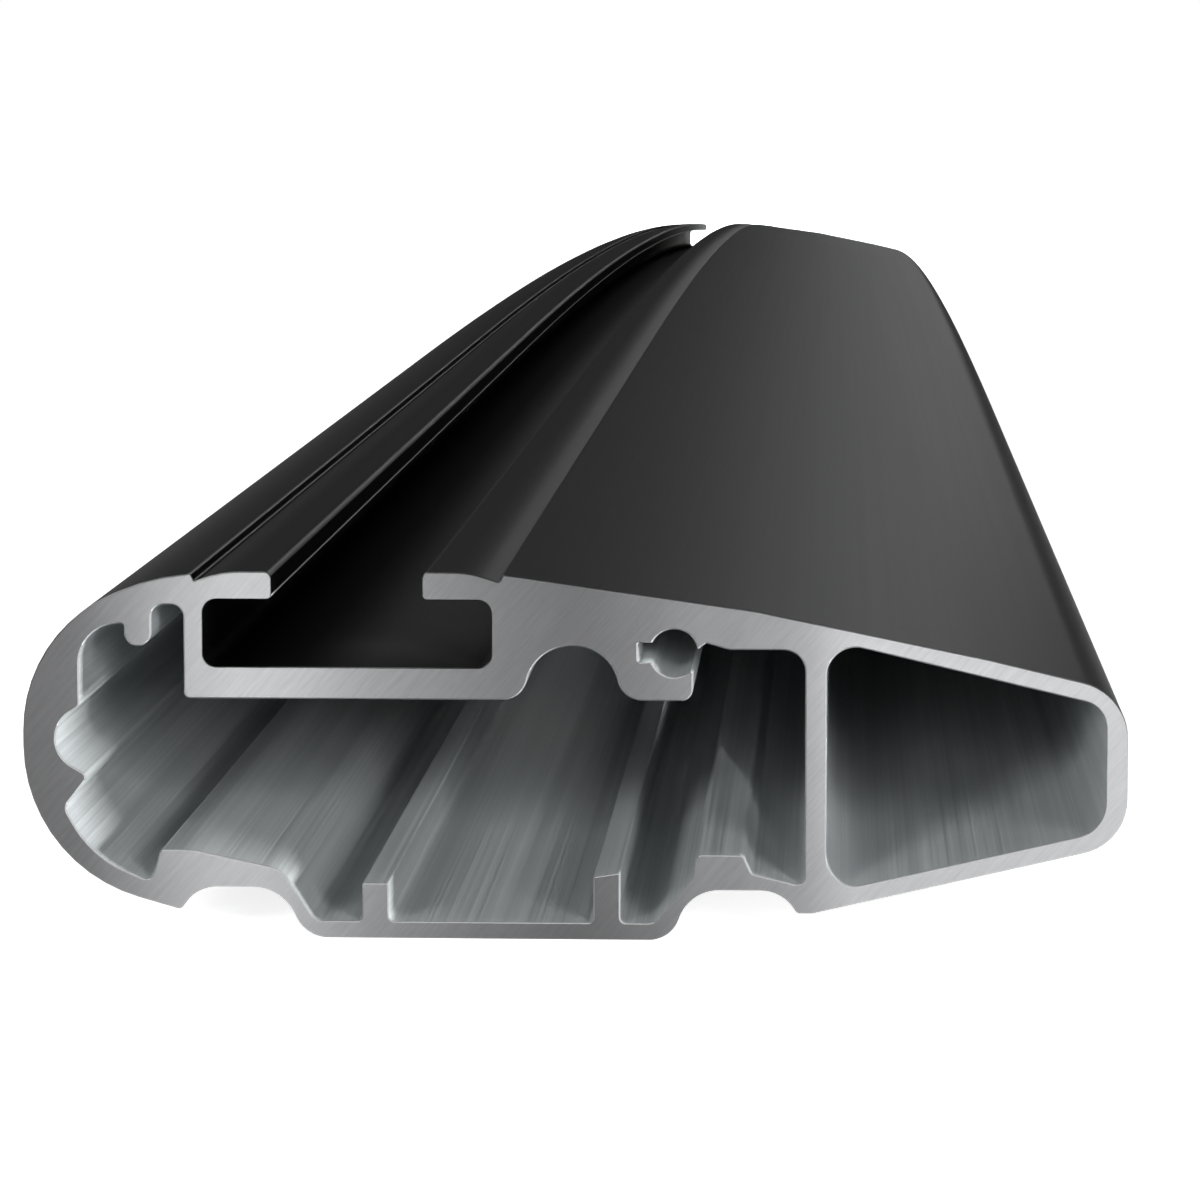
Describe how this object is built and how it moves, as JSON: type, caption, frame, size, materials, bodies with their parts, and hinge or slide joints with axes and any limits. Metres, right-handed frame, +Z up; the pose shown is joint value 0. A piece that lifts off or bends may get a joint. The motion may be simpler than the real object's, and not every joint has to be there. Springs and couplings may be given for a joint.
{
  "type": "roof rack crossbar",
  "caption": "Wing-section aluminium crossbar for a roof rack, gently bowed, black outside, with a nut slot along its top.",
  "frame": {"origin": "middle of the bar's box, at the level of the keel's two lower end edges, on which it stands", "axes": "+Y along the bar from the near sawn end to the far one, -X to the round nose, +X to the tail, +Z up"},
  "size_m": [0.08, 1.181, 0.0335],
  "materials": {
    "black_aluminium": "black satin anodised outside and in the slot, bare mill finish in the chambers, brushed sawn ends"
  },
  "bodies": {
    "root": {"crossbar": "black_aluminium"}
  },
  "joints": []
}
